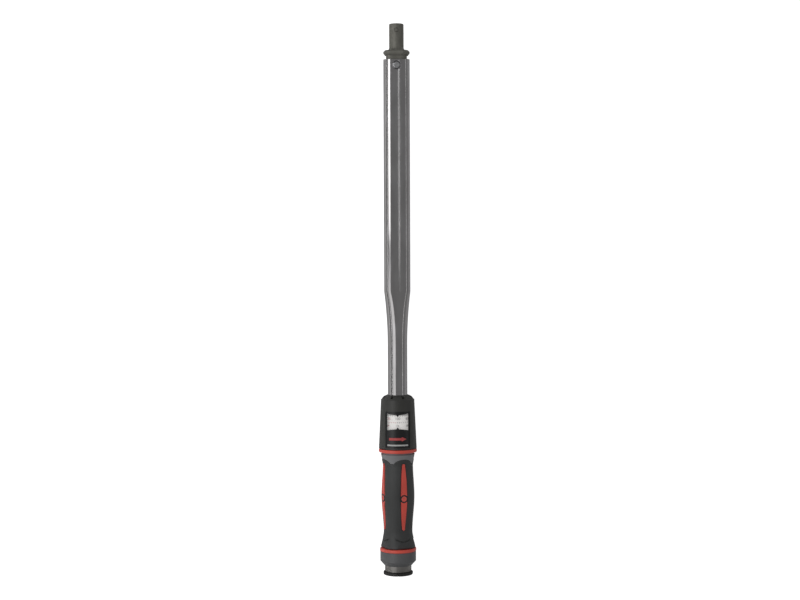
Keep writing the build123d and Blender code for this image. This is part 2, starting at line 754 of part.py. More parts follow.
# ---------------------------------------------------------------- rear collar and seal
seal_low = KNOB_TOP - 4.4
with BuildPart() as rear_collar:
    with BuildSketch(Plane.XZ):
        Polygon(
            (COLLAR_BORE_R, COLLAR_LOW),
            (COLLAR_BORE_R + 0.3, COLLAR_LOW),
            (COLLAR_R, COLLAR_CHAMFER_TOP),
            (COLLAR_R, RED_LOWER_LOW),
            (TUBE_R + RUN, RED_LOWER_LOW),
            (TUBE_R + RUN, COLLAR_WEB),
            (COLLAR_BORE_R, COLLAR_WEB),
            (COLLAR_BORE_R, seal_low + SEAL_GROOVE),
            (COLLAR_BORE_R + SEAL_DEPTH, seal_low + SEAL_GROOVE),
            (COLLAR_BORE_R + SEAL_DEPTH, seal_low),
            (COLLAR_BORE_R, seal_low),
            align=None,
        )
    revolve(axis=Axis.Z)
save(rear_collar, "rear_collar")

with BuildPart() as knob_seal:
    with BuildSketch(Plane.XZ):
        with Locations((KNOB_R + RUN + SEAL_WIRE_R, seal_low + SEAL_GROOVE / 2)):
            Circle(SEAL_WIRE_R)
    revolve(axis=Axis.Z)
save(knob_seal, "knob_seal")

# ---------------------------------------------------------------- knob
with BuildPart() as adjuster_knob:
    with BuildSketch(Plane.XZ):
        Polygon(
            (HUB_R - 1.1, KNOB_LOW),
            (KNOB_R_LOW, KNOB_LOW),
            (KNOB_R, COLLAR_LOW),
            (KNOB_R, KNOB_TOP),
            (KNOB_SKIRT_R, KNOB_TOP),
            (KNOB_SKIRT_R, HUB_LOW + 1.5),
            (HUB_R, HUB_LOW + 1.5),
            (HUB_R, HUB_TOP),
            (0, HUB_TOP),
            (0, HUB_LOW),
            (HUB_R - 1.1, HUB_LOW),
            align=None,
        )
    revolve(axis=Axis.Z)
    with BuildSketch(Plane.XY.offset(HUB_LOW)):
        RegularPolygon(HEX_FLATS / 2 + RUN, 6, major_radius=False)
    extrude(amount=HUB_TOP - HUB_LOW, mode=Mode.SUBTRACT)
    # two radial bores for the balls that press on the hexagon
    with BuildSketch(Plane.XZ.offset(-HUB_R - 1)):
        with Locations((0, DETENT_BALL_Z)):
            Circle(DETENT_BALL_R + RUN)
    extrude(amount=2 * HUB_R + 2, mode=Mode.SUBTRACT)
save(adjuster_knob, "adjuster_knob")

with BuildPart() as detent_balls:
    for side in (-1, 1):
        with Locations((0, side * (HEX_FLATS / 2 + RUN + DETENT_BALL_R), DETENT_BALL_Z)):
            Sphere(DETENT_BALL_R)
save(detent_balls, "detent_balls")

with BuildPart() as detent_clip:
    with BuildSketch(Plane.XY.offset(DETENT_BALL_Z - CLIP_WIDTH / 2)):
        Circle(HUB_R + CLIP_THICK)
        Circle(HUB_R + SEAT, mode=Mode.SUBTRACT)
        with Locations((HUB_R, 0)):
            Rectangle(4 * CLIP_THICK, CLIP_GAP, mode=Mode.SUBTRACT)
    extrude(amount=CLIP_WIDTH)
save(detent_clip, "detent_clip")

with BuildPart() as knob_cap:
    with BuildSketch(Plane.XY):
        Circle(CAP_R)
    extrude(amount=CAP_TOP)
    chamfer(knob_cap.edges().group_by(Axis.Z)[0], length=CAP_CHAMFER)
    fillet(knob_cap.edges().group_by(Axis.Z)[-1], radius=CAP_FILLET)
    with BuildSketch(Plane.XY.offset(CAP_TOP)):
        Circle(KNOB_R_LOW - 0.6)
    extrude(amount=KNOB_LOW - CAP_TOP)
    with Locations((0, -CAP_R, 0)):
        Box(
            CAP_NOTCH,
            CAP_NOTCH_DEPTH,
            CAP_TOP,
            align=(Align.CENTER, Align.CENTER, Align.MIN),
            mode=Mode.SUBTRACT,
        )
save(knob_cap, "knob_cap")

screw_head_top = HUB_LOW - KNOB_PULL - 0.2
with BuildPart() as knob_screw:
    with BuildSketch(Plane.XY.offset(screw_head_top - SCREW_HEAD)):
        Circle(SCREW_HEAD_R)
        RegularPolygon(1.3, 6, mode=Mode.SUBTRACT)
    extrude(amount=SCREW_HEAD)
    with BuildSketch(Plane.XY.offset(screw_head_top)):
        Circle(SCREW_SHANK_R)
    extrude(amount=SCREW_LENGTH)
save(knob_screw, "knob_screw")
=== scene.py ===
import math

import bmesh
import bpy
from mathutils import Matrix, Quaternion, Vector


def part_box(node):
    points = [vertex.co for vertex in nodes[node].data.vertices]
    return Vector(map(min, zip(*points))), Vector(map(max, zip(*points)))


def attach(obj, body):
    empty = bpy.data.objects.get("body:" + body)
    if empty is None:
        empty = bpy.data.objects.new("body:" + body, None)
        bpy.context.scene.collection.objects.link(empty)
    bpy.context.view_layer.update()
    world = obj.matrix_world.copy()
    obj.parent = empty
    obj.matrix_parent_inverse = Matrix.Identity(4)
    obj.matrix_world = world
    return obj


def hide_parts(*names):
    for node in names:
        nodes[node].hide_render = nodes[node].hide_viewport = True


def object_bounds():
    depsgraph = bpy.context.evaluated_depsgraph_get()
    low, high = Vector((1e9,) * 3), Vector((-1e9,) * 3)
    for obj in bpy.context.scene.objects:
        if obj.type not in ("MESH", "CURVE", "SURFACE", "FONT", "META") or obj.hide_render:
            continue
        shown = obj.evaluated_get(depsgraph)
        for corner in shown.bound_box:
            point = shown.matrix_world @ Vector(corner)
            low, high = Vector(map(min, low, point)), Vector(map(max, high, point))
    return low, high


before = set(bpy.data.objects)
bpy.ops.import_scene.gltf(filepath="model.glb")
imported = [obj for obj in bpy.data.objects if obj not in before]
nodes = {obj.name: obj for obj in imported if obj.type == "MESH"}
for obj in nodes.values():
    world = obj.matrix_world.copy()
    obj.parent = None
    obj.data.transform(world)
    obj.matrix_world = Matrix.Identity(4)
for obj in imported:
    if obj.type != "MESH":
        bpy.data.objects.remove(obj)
cad_low, cad_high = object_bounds()

# ------------------------------------------------------------------ outer tube
# A drawn steel tube, round where it runs through the handle and pressed to a rounded rectangle
# above it, satin chromed. The lever's pivot pin goes through a countersunk hole near its top.
# As in the CAD, pieces are drawn standing on the knob, window to -Y, and then laid on their back.
MM = 0.001
HALF_LENGTH = cad_high.x
AXIS_HEIGHT = cad_high.z / 2
LAID_DOWN = Matrix(((0, 0, 1, -HALF_LENGTH), (-1, 0, 0, 0), (0, -1, 0, AXIS_HEIGHT), (0, 0, 0, 1)))
tube_low, tube_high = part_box("outer_tube")
TUBE_END = (tube_low.x + HALF_LENGTH) / MM
TUBE_TOP = (tube_high.x + HALF_LENGTH) / MM
HEAD_HALF_WIDTH = tube_high.y / MM
HEAD_HALF_DEPTH = (tube_high.z - AXIS_HEIGHT) / MM
HEAD_CORNER = 8.8
ROUND_R = 10.75
WALL = 2.0
SWAGE_LOW = 252.7
SWAGE_TOP = 313.2
LIP = 0.45
CROWN = 0.25
PIVOT_Z = 560.3
PIVOT_R = 4.02
PIVOT_RIM_R = 4.85


def link(obj):
    bpy.context.scene.collection.objects.link(obj)
    return obj


def evaluated(obj):
    """Bake an object's modifiers into its mesh."""
    graph = bpy.context.evaluated_depsgraph_get()
    baked = bpy.data.meshes.new_from_object(obj.evaluated_get(graph))
    obj.modifiers.clear()
    obj.data = baked
    return obj


def smooth(obj, degrees=35):
    """Shade smooth, with sharp edges where the faces turn by more than an angle."""
    for face in obj.data.polygons:
        face.use_smooth = True
    obj.data.set_sharp_from_angle(angle=math.radians(degrees))
    return obj


def section(half_width, half_depth, corner, z, per_corner=10):
    """A rounded rectangle at height z as a ring of points, with extra points along its flats."""
    points = []
    inner_x = half_width - corner
    inner_y = half_depth - corner
    for quarter, (side_x, side_y) in enumerate(((1, 1), (-1, 1), (-1, -1), (1, -1))):
        for step in range(per_corner + 1):
            turn = math.radians(90 * (quarter + step / per_corner))
            x = side_x * inner_x + corner * math.cos(turn)
            y = side_y * inner_y + corner * math.sin(turn)
            points.append(Vector((x, y, z)))
        next_x, next_y = ((-1, 1), (-1, -1), (1, -1), (1, 1))[quarter]
        next_turn = math.radians(90 * (quarter + 1))
        x = next_x * inner_x + corner * math.cos(next_turn)
        y = next_y * inner_y + corner * math.sin(next_turn)
        flat_end = Vector((x, y, z))
        flat_start = points[-1].copy()
        for share in (0.08, 0.2, 0.35, 0.5, 0.65, 0.8, 0.92):
            points.append(flat_start.lerp(flat_end, share))
    return points


def skin(name, rings, closed=True, place=LAID_DOWN):
    """A mesh through rings of points in millimetres: closed on itself as a tube wall, or capped."""
    mesh = bmesh.new()
    rows = [[mesh.verts.new(point * MM) for point in ring] for ring in rings]
    count = len(rows[0])
    pairs = list(zip(rows, rows[1:]))
    if closed:
        pairs.append((rows[-1], rows[0]))
    for lower, upper in pairs:
        for i in range(count):
            j = (i + 1) % count
            mesh.faces.new((lower[i], lower[j], upper[j], upper[i]))
    if not closed:
        mesh.faces.new(rows[0])
        mesh.faces.new(rows[-1])
    bmesh.ops.recalc_face_normals(mesh, faces=mesh.faces)
    data = bpy.data.meshes.new(name)
    mesh.to_mesh(data)
    mesh.free()
    data.transform(place)
    return link(bpy.data.objects.new(name, data))


def carve(obj, cutter):
    """Cut one closed mesh out of another."""
    cut = obj.modifiers.new("cut", "BOOLEAN")
    cut.operation = "DIFFERENCE"
    cut.solver = "EXACT"
    cut.object = cutter
    evaluated(obj)
    bpy.data.objects.remove(cutter)
    return obj


def tube_section(z, inset):
    """The tube's section at a height, moved inwards by a distance, with its two faces crowned."""
    share = min(max((z - SWAGE_LOW) / (SWAGE_TOP - SWAGE_LOW), 0), 1)
    half_width = ROUND_R + (HEAD_HALF_WIDTH - ROUND_R) * share**2
    half_depth = ROUND_R + (HEAD_HALF_DEPTH - ROUND_R) * share
    corner = half_depth - 0.05 - (half_depth - 0.05 - HEAD_CORNER) * share**4
    ring = section(half_width - inset, half_depth - inset, corner - inset, z)
    flat = half_width - corner
    for point in ring:
        if abs(point.x) < flat - 0.01:
            point.y += math.copysign(CROWN * share**4 * (1 - (point.x / flat) ** 2), point.y)
    return ring


def turned(name, profile, segments=96):
    """A closed profile of (radius, height) points turned about the long axis."""
    rings = []
    for step in range(segments):
        turn = 2 * math.pi * step / segments
        rings.append([Vector((r * math.cos(turn), r * math.sin(turn), z)) for r, z in profile])
    return smooth(skin(name, rings))


def softened(corners, radius=0.4, steps=4):
    """A closed profile with every corner rounded."""
    points = []
    for i, corner in enumerate(corners):
        here = Vector(corner)
        back = Vector(corners[i - 1]) - here
        ahead = Vector(corners[(i + 1) % len(corners)]) - here
        reach = min(radius, 0.45 * back.length, 0.45 * ahead.length)
        start = here + back.normalized() * reach
        end = here + ahead.normalized() * reach
        for step in range(steps + 1):
            t = step / steps
            points.append(tuple(start * (1 - t) ** 2 + here * (2 * t * (1 - t)) + end * t**2))
    return points


def cross_rod(name, profile, z):
    """A capped rod along Y, turned from (distance along Y, radius) points, centred at height z."""
    rings = []
    for along, radius in profile:
        ring = []
        for step in range(48):
            turn = 2 * math.pi * step / 48
            ring.append(Vector((radius * math.cos(turn), along, z + radius * math.sin(turn))))
        rings.append(ring)
    return skin(name, rings, closed=False)


tube_heights = [TUBE_END + LIP, 120.0, 200.0]
tube_heights += [SWAGE_LOW + (SWAGE_TOP - SWAGE_LOW) * step / 28 for step in range(29)]
tube_heights += [SWAGE_TOP + 0.8, 400.0, 480.0, TUBE_TOP - LIP]
lip_steps = [(math.sin(math.radians(a)), math.cos(math.radians(a))) for a in (30, 60, 90)]
rings = [tube_section(z, 0) for z in tube_heights]
rings += [tube_section(TUBE_TOP - LIP + LIP * up, LIP * (1 - over)) for up, over in lip_steps]
rings += [tube_section(TUBE_TOP - LIP * (1 - up), WALL - LIP * (1 - up)) for up in (1.0, 0.0)]
rings += [tube_section(z, WALL) for z in reversed(tube_heights[1:-1])]
rings += [tube_section(TUBE_END, WALL), tube_section(TUBE_END, LIP)]
tube = skin("chromed_tube", rings)
rim = PIVOT_RIM_R - PIVOT_R
hole = [
    (-HEAD_HALF_DEPTH - 1.0, PIVOT_RIM_R + 1.0),
    (-HEAD_HALF_DEPTH + rim, PIVOT_R),
    (HEAD_HALF_DEPTH - rim, PIVOT_R),
    (HEAD_HALF_DEPTH + 1.0, PIVOT_RIM_R + 1.0),
]
carve(tube, cross_rod("pivot_hole", hole, PIVOT_Z))
smooth(tube, 28)


def finish_tree(name):
    """A new material: its node tree, its shader and a socket that gives object coordinates."""
    material = bpy.data.materials.new(name)
    material.use_nodes = True
    tree = material.node_tree
    shader = tree.nodes["Principled BSDF"]
    place = tree.nodes.new("ShaderNodeTexCoord")
    return material, tree, shader, place.outputs["Object"]


def pattern(tree, place, scale, stretch=(1, 1, 1), detail=4.0, rough=0.55):
    """Noise over the piece, with its scale given as features per metre along each axis."""
    mapping = tree.nodes.new("ShaderNodeMapping")
    mapping.inputs["Scale"].default_value = stretch
    noise = tree.nodes.new("ShaderNodeTexNoise")
    noise.inputs["Scale"].default_value = scale
    noise.inputs["Detail"].default_value = detail
    noise.inputs["Roughness"].default_value = rough
    tree.links.new(place, mapping.inputs["Vector"])
    tree.links.new(mapping.outputs["Vector"], noise.inputs["Vector"])
    return noise.outputs["Fac"]


def spread(tree, factor, low, high, start=0.3, end=0.7):
    """A number that runs from low to high as the pattern does."""
    ranged = tree.nodes.new("ShaderNodeMapRange")
    ranged.inputs["From Min"].default_value = start
    ranged.inputs["From Max"].default_value = end
    ranged.inputs["To Min"].default_value = low
    ranged.inputs["To Max"].default_value = high
    tree.links.new(factor, ranged.inputs["Value"])
    return ranged.outputs["Result"]


def blend_colour(tree, factor, dark, light, start=0.3, end=0.7):
    """A colour that runs from dark to light as the pattern does."""
    ramp = tree.nodes.new("ShaderNodeValToRGB")
    ramp.color_ramp.elements[0].position = start
    ramp.color_ramp.elements[0].color = (*dark, 1)
    ramp.color_ramp.elements[1].position = end
    ramp.color_ramp.elements[1].color = (*light, 1)
    tree.links.new(factor, ramp.inputs["Fac"])
    return ramp.outputs["Color"]


def relief(tree, shader, height, depth, strength=1.0):
    """A bump of the given depth in metres."""
    bump = tree.nodes.new("ShaderNodeBump")
    bump.inputs["Distance"].default_value = depth
    bump.inputs["Strength"].default_value = strength
    tree.links.new(height, bump.inputs["Height"])
    tree.links.new(bump.outputs["Normal"], shader.inputs["Normal"])


def metal(name, dark, light, roughness, drawn=(0.02, 1, 1), grain=900, depth=0.00002):
    """A metal with fine drawn or turned lines, clouded a little in colour and gloss."""
    material, tree, shader, place = finish_tree(name)
    lines = pattern(tree, place, grain, drawn)
    clouds = pattern(tree, place, 60, (0.4, 1, 1), detail=2.0)
    tree.links.new(blend_colour(tree, clouds, dark, light), shader.inputs["Base Color"])
    tree.links.new(spread(tree, lines, roughness[0], roughness[1]), shader.inputs["Roughness"])
    shader.inputs["Metallic"].default_value = 1.0
    relief(tree, shader, lines, depth, 0.35)
    return material


def dress(obj, *materials):
    """Give an object these materials and no others."""
    obj.data.materials.clear()
    for material in materials:
        obj.data.materials.append(material)
    return obj


satin_chrome = metal(
    "satin_chrome", (0.395, 0.385, 0.385), (0.485, 0.475, 0.48), (0.08, 0.14), depth=0.000006,
)
dress(tube, satin_chrome)
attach(tube, "handle")
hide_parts("outer_tube")

# ------------------------------------------------------------------ pivot pin
# A hardened pin pressed through the tube and the lever, ground bright, with its two ends rounded
# and standing level with the tube's faces inside the countersunk rims.
PIN_ROUND = 1.2
pin_profile = []
for step in range(10):
    turn = math.radians(10 * step)
    along = -HEAD_HALF_DEPTH - 0.15 + PIN_ROUND * (1 - math.cos(turn))
    pin_profile.append((along, 2.75 + PIN_ROUND * math.sin(turn)))
pin_profile += [(-along, radius) for along, radius in reversed(pin_profile)]
pivot = smooth(cross_rod("ground_pivot_pin", pin_profile, PIVOT_Z), 40)
ground_steel = metal("ground_steel", (0.40, 0.40, 0.41), (0.54, 0.54, 0.55), (0.18, 0.30), (0.1, 1, 1), 1400)
dress(pivot, ground_steel)
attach(pivot, "handle")
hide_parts("pivot_pin")

# ------------------------------------------------------------------ lever and spigot
# One steel forging, phosphated dark: a tail and tongue that swing inside the tube, a chamfered
# flange that covers the tube's mouth, and the round spigot that plug-in heads slide on.
lever_low, lever_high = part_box("spigot_lever")
SPIGOT_R = 8.0
SPIGOT_TOP = (lever_high.x + HALF_LENGTH) / MM
TAIL_END = (lever_low.x + HALF_LENGTH) / MM
FLANGE = (571.3, 573.5, 575.1, 576.8)
NECK_HALF = 11.45
LEVER_HALF_DEPTH = 8.0
TAIL_HALF = 6.8
TAIL_TOP = 525.0
NECK_START = 545.0
LEVER_CORNER = 5.5
ROOT_R = 3.0
ROOT_FLAT = 10.0
DETENT_Z = 598.6
DETENT_BORE_R = 2.35

rings = [section(TAIL_HALF - 0.5, LEVER_HALF_DEPTH - 0.5, LEVER_CORNER - 0.5, TAIL_END)]
rings += [section(TAIL_HALF, LEVER_HALF_DEPTH, LEVER_CORNER, z) for z in (TAIL_END + 0.5, TAIL_TOP)]
rings += [section(NECK_HALF, LEVER_HALF_DEPTH, LEVER_CORNER, z) for z in (NECK_START, FLANGE[0])]
flange_edge = [(1.9, FLANGE[0]), (1.7, FLANGE[0] + 0.15), (0.2, FLANGE[1] - 0.2), (0.0, FLANGE[1] + 0.1)]
flange_edge += [(0.0, FLANGE[2] - 0.1), (0.2, FLANGE[2] + 0.15), (1.6, FLANGE[3] - 0.15), (1.9, FLANGE[3])]
for shrink, z in flange_edge:
    less = 0.6 * shrink
    rings.append(section(HEAD_HALF_WIDTH - shrink, HEAD_HALF_DEPTH - less, HEAD_CORNER - less, z))
for step in range(9):
    turn = math.radians(90 * step / 8)
    reach = SPIGOT_R + ROOT_R * (1 - math.sin(turn))
    flat = min(reach, ROOT_FLAT - 0.2)
    rings.append(section(reach, flat, flat - 0.01, FLANGE[3] + ROOT_R * (1 - math.cos(turn))))
for shrink, below_top in ((0.0, 24.0), (0.0, 3.5), (0.0, 0.85), (0.12, 0.60), (0.6, 0.13), (0.85, 0.0)):
    radius = SPIGOT_R - shrink
    rings.append(section(radius, radius, radius - 0.01, SPIGOT_TOP - below_top))
lever = skin("spigot_forging", rings, closed=False)
carve(lever, cross_rod("lever_bore", [(-15, PIVOT_R + 0.03), (15, PIVOT_R + 0.03)], PIVOT_Z))
mouth = [(-9.0, DETENT_BORE_R + 1.25), (-7.75, DETENT_BORE_R), (5.0, DETENT_BORE_R)]
carve(lever, cross_rod("detent_bore", mouth, DETENT_Z))
smooth(lever, 24)

phosphate, tree, shader, place = finish_tree("phosphated_steel")
clouds = pattern(tree, place, 140, (0.6, 1, 1), detail=6.0, rough=0.65)
pits = pattern(tree, place, 1800, detail=3.0)
coat = blend_colour(tree, clouds, (0.165, 0.162, 0.140), (0.235, 0.230, 0.202))
tree.links.new(coat, shader.inputs["Base Color"])
tree.links.new(spread(tree, pits, 0.50, 0.66), shader.inputs["Roughness"])
shader.inputs["Metallic"].default_value = 0.45
relief(tree, shader, pits, 0.00005, 0.5)
dress(lever, phosphate)
dress(nodes["detent_pin"], phosphate)
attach(lever, "lever")
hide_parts("spigot_lever")

# ------------------------------------------------------------------ works inside the tube
# Hardened pins, washers, plunger, nut and screw in ground steel, springs in dark oiled wire, and
# turned bronze guides. They are fitted from the ends and stay out of sight in use.
spring_wire = metal("spring_wire", (0.10, 0.10, 0.10), (0.16, 0.15, 0.14), (0.3, 0.45), (1, 1, 1), 900)
turned_bronze = metal(
    "turned_bronze", (0.45, 0.30, 0.15), (0.58, 0.40, 0.21), (0.25, 0.4), (1, 0.05, 0.05), 1200,
)
STEEL_NODES = (
    "plug_pins", "thrust_race_lower", "thrust_race_upper", "thrust_balls",
    "trip_block", "plunger", "spring_cup", "spring_washer", "load_nut", "load_keys", "lead_screw",
    "knob_screw", "detent_balls",
)
for name in STEEL_NODES:
    dress(nodes[name], ground_steel)
for name in ("main_spring", "detent_spring", "detent_clip"):
    dress(nodes[name], spring_wire)
for name in ("pivot_washer_front", "pivot_washer_back", "plunger_guide", "end_plug", "ball_cage"):
    dress(nodes[name], turned_bronze)

# ------------------------------------------------------------------ scale drum
# A white moulded drum behind the window, turned by the adjuster. Its numbers are printed in red
# above the setting and in grey below it, and its ticks in grey. A faint glow of its own stands in
# for the light that would come back to it from inside the housing.
drum_low, drum_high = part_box("scale_drum")
DRUM_R = drum_high.y / MM
DRUM_BOTTOM = (drum_low.x + HALF_LENGTH) / MM
DRUM_TOP = (drum_high.x + HALF_LENGTH) / MM
DRUM_WALL = 1.5
UNITS_PER_DEGREE = 0.5
READING = 100
PRINT = 0.03
MIDDLE_Z = 170.6
POUND_FEET = 0.738


def moulded(name, colour, roughness=(0.42, 0.55), grain=1500, depth=0.00003, mottle=0.12, metallic=0.0):
    """A moulded plastic or rubber: fine surface grain, with slight clouding of the colour."""
    material, tree, shader, place = finish_tree(name)
    fine = pattern(tree, place, grain, detail=3.0)
    clouds = pattern(tree, place, 45, detail=3.0)
    dark = tuple(part * (1 - mottle) for part in colour)
    light = tuple(min(part * (1 + mottle), 1) for part in colour)
    tree.links.new(blend_colour(tree, clouds, dark, light), shader.inputs["Base Color"])
    tree.links.new(spread(tree, fine, roughness[0], roughness[1]), shader.inputs["Roughness"])
    shader.inputs["Metallic"].default_value = metallic
    relief(tree, shader, fine, depth, 0.6)
    return material


def printed(name, text, size, value, z, radius):
    """A number printed on the drum, centred on the angle of its value."""
    curve = bpy.data.curves.new(name, "FONT")
    curve.body = text
    curve.size = size
    curve.align_x = "CENTER"
    curve.align_y = "CENTER"
    curve.extrude = PRINT
    letters = link(bpy.data.objects.new(name, curve))
    graph = bpy.context.evaluated_depsgraph_get()
    mesh = bpy.data.meshes.new_from_object(letters.evaluated_get(graph))
    bpy.data.objects.remove(letters)
    middle = math.radians(-90 - (value - READING) / UNITS_PER_DEGREE)
    for vertex in mesh.vertices:
        turn = middle + vertex.co.x / radius
        reach = radius + vertex.co.z
        vertex.co = Vector((reach * math.cos(turn), reach * math.sin(turn), z + vertex.co.y)) * MM
    mesh.transform(LAID_DOWN)
    return mesh


def joined(name, meshes):
    """Several meshes, already in place, as one object."""
    whole = bmesh.new()
    for mesh in meshes:
        whole.from_mesh(mesh)
    data = bpy.data.meshes.new(name)
    whole.to_mesh(data)
    whole.free()
    return link(bpy.data.objects.new(name, data))


def ring_tree():
    """Copies of a piece in rows round the long axis; the piece is modelled pointing along +X."""
    tree = bpy.data.node_groups.new("pieces_round_the_axis", "GeometryNodeTree")
    wanted = (
        ("Columns", "NodeSocketInt"), ("Rows", "NodeSocketInt"), ("Radius", "NodeSocketFloat"),
        ("Low", "NodeSocketFloat"), ("Pitch", "NodeSocketFloat"), ("Stagger", "NodeSocketFloat"),
        ("Start", "NodeSocketFloat"), ("Span", "NodeSocketFloat"), ("Piece", "NodeSocketObject"),
        ("Material", "NodeSocketMaterial"),
    )
    for label, kind in wanted:
        tree.interface.new_socket(label, in_out="INPUT", socket_type=kind)
    tree.interface.new_socket("Geometry", in_out="OUTPUT", socket_type="NodeSocketGeometry")
    given = tree.nodes.new("NodeGroupInput").outputs
    result = tree.nodes.new("NodeGroupOutput")

    def sum_of(operation, first, second):
        made = tree.nodes.new("ShaderNodeMath")
        made.operation = operation
        for socket, value in zip(made.inputs, (first, second)):
            if isinstance(value, (int, float)):
                socket.default_value = value
            else:
                tree.links.new(value, socket)
        return made.outputs[0]

    index = tree.nodes.new("GeometryNodeInputIndex").outputs[0]
    row = sum_of("FLOOR", sum_of("DIVIDE", index, given["Columns"]), 0)
    column = sum_of("SUBTRACT", index, sum_of("MULTIPLY", row, given["Columns"]))
    shift = sum_of("MULTIPLY", sum_of("MODULO", row, 2), given["Stagger"])
    share = sum_of("DIVIDE", sum_of("ADD", column, shift), given["Columns"])
    turn = sum_of("ADD", given["Start"], sum_of("MULTIPLY", share, given["Span"]))
    place = tree.nodes.new("ShaderNodeCombineXYZ")
    tree.links.new(sum_of("MULTIPLY", given["Radius"], sum_of("COSINE", turn, 0)), place.inputs["X"])
    tree.links.new(sum_of("MULTIPLY", given["Radius"], sum_of("SINE", turn, 0)), place.inputs["Y"])
    tree.links.new(sum_of("ADD", given["Low"], sum_of("MULTIPLY", row, given["Pitch"])), place.inputs["Z"])
    points = tree.nodes.new("GeometryNodePoints")
    tree.links.new(sum_of("MULTIPLY", given["Columns"], given["Rows"]), points.inputs["Count"])
    tree.links.new(place.outputs["Vector"], points.inputs["Position"])
    heading = tree.nodes.new("ShaderNodeCombineXYZ")
    tree.links.new(turn, heading.inputs["Z"])
    rotation = tree.nodes.new("FunctionNodeEulerToRotation")
    tree.links.new(heading.outputs["Vector"], rotation.inputs["Euler"])
    piece = tree.nodes.new("GeometryNodeObjectInfo")
    tree.links.new(given["Piece"], piece.inputs["Object"])
    copies = tree.nodes.new("GeometryNodeInstanceOnPoints")
    tree.links.new(points.outputs["Points"], copies.inputs["Points"])
    tree.links.new(piece.outputs["Geometry"], copies.inputs["Instance"])
    tree.links.new(rotation.outputs["Rotation"], copies.inputs["Rotation"])
    real = tree.nodes.new("GeometryNodeRealizeInstances")
    tree.links.new(copies.outputs["Instances"], real.inputs["Geometry"])
    coated = tree.nodes.new("GeometryNodeSetMaterial")
    tree.links.new(real.outputs["Geometry"], coated.inputs["Geometry"])
    tree.links.new(given["Material"], coated.inputs["Material"])
    tree.links.new(coated.outputs["Geometry"], result.inputs["Geometry"])
    return tree


rings_of_pieces = ring_tree()


def ring_of(
    name, piece, material, columns, radius, low, rows=1, pitch=0.0, stagger=0.0, start=0.0, span=360.0,
):
    """Lay copies of a piece in rows round the axis and return them as one plain mesh."""
    obj = link(bpy.data.objects.new(name, bpy.data.meshes.new(name)))
    modifier = obj.modifiers.new("rows", "NODES")
    modifier.node_group = rings_of_pieces
    values = {
        "Columns": columns, "Rows": rows, "Radius": radius * MM, "Low": low * MM, "Pitch": pitch * MM,
        "Stagger": stagger, "Start": math.radians(start), "Span": math.radians(span),
        "Piece": piece, "Material": material,
    }
    for socket in rings_of_pieces.interface.items_tree:
        if socket.in_out == "INPUT":
            modifier[socket.identifier] = values[socket.name]
    obj.update_tag()
    evaluated(obj)
    obj.data.transform(LAID_DOWN)
    bpy.data.objects.remove(piece)
    return obj


def small_block(name, deep, wide, tall):
    """A small block for copying, centred on the origin and pointing along +X."""
    corners = ((-1, -1), (1, -1), (1, 1), (-1, 1))
    rings = [[Vector((x * deep / 2, y * wide / 2, z)) for x, y in corners] for z in (-tall / 2, tall / 2)]
    return skin(name, rings, closed=False, place=Matrix())


drum_profile = [
    (DRUM_R - DRUM_WALL, DRUM_BOTTOM),
    (DRUM_R, DRUM_BOTTOM),
    (DRUM_R, DRUM_TOP),
    (DRUM_R - DRUM_WALL, DRUM_TOP),
]
drum = turned("white_drum", softened(drum_profile, 0.3, 2), segments=128)
drum_white = moulded("drum_white", (0.84, 0.82, 0.80), (0.35, 0.45), 900, 0.00001, 0.03)
drum_shader = drum_white.node_tree.nodes["Principled BSDF"]
drum_shader.inputs["Emission Color"].default_value = (1.0, 0.97, 0.95, 1)
drum_shader.inputs["Emission Strength"].default_value = 0.30
dress(drum, drum_white)
grey_print = moulded("grey_print", (0.20, 0.20, 0.20), (0.5, 0.6), 2500, 0.00001)
red_print = moulded("red_print", (0.62, 0.09, 0.09), (0.5, 0.6), 2500, 0.00001)
upper_range = []
lower_range = []
for value in range(40, 200, 20):
    side = upper_range if value > READING else lower_range
    second = str(round(value * POUND_FEET))
    side.append(printed(f"number_{value}", str(value), 3.9, value, MIDDLE_Z + 3.2, DRUM_R))
    side.append(printed(f"second_{value}", second, 3.1, value, MIDDLE_Z - 4.6, DRUM_R))
for value in range(40, 196, 4):
    side = upper_range if value > READING else lower_range
    side.append(printed(f"unit_{value}", str(value // 2 % 10), 2.2, value, MIDDLE_Z - 0.8, DRUM_R))
red_numbers = dress(joined("red_numbers", upper_range), red_print)
grey_numbers = dress(joined("grey_numbers", lower_range), grey_print)
drum_marks = []
for tick, wide, tall, columns in (("short", 0.24, 1.3, 150), ("long", 0.4, 2.2, 30)):
    block = small_block(f"{tick}_tick", 2 * PRINT, wide, tall)
    middle = MIDDLE_Z + 8.2 - tall / 2
    drum_marks.append(
        ring_of(f"{tick}_ticks", block, grey_print, columns, DRUM_R, middle, start=-270, span=300)
    )
for piece in (drum, red_numbers, grey_numbers, *drum_marks):
    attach(piece, "scale_drum")
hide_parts("scale_drum")

# ------------------------------------------------------------------ scale housing
# A matte black moulding, slightly tapered, that closes round the drum. Its front is sunk for the
# window panel, and a notched cone locks it to the tube.
matte_black = moulded("matte_black", (0.047, 0.047, 0.043), (0.40, 0.52), 1700, 0.00004, 0.10)
for name in ("scale_housing", "housing_collar"):
    dress(nodes[name], matte_black)
panel_gloss = moulded("panel_gloss", (0.009, 0.009, 0.010), (0.30, 0.38), 700, 0.00001, 0.15)
dress(nodes["window_panel"], panel_gloss)

clear = bpy.data.materials.new("clear_window")
clear.use_nodes = True
shader = clear.node_tree.nodes["Principled BSDF"]
shader.inputs["Base Color"].default_value = (0.9, 0.91, 0.91, 1)
shader.inputs["Roughness"].default_value = 0.06
shader.inputs["Alpha"].default_value = 0.06
dress(nodes["window_lens"], clear)

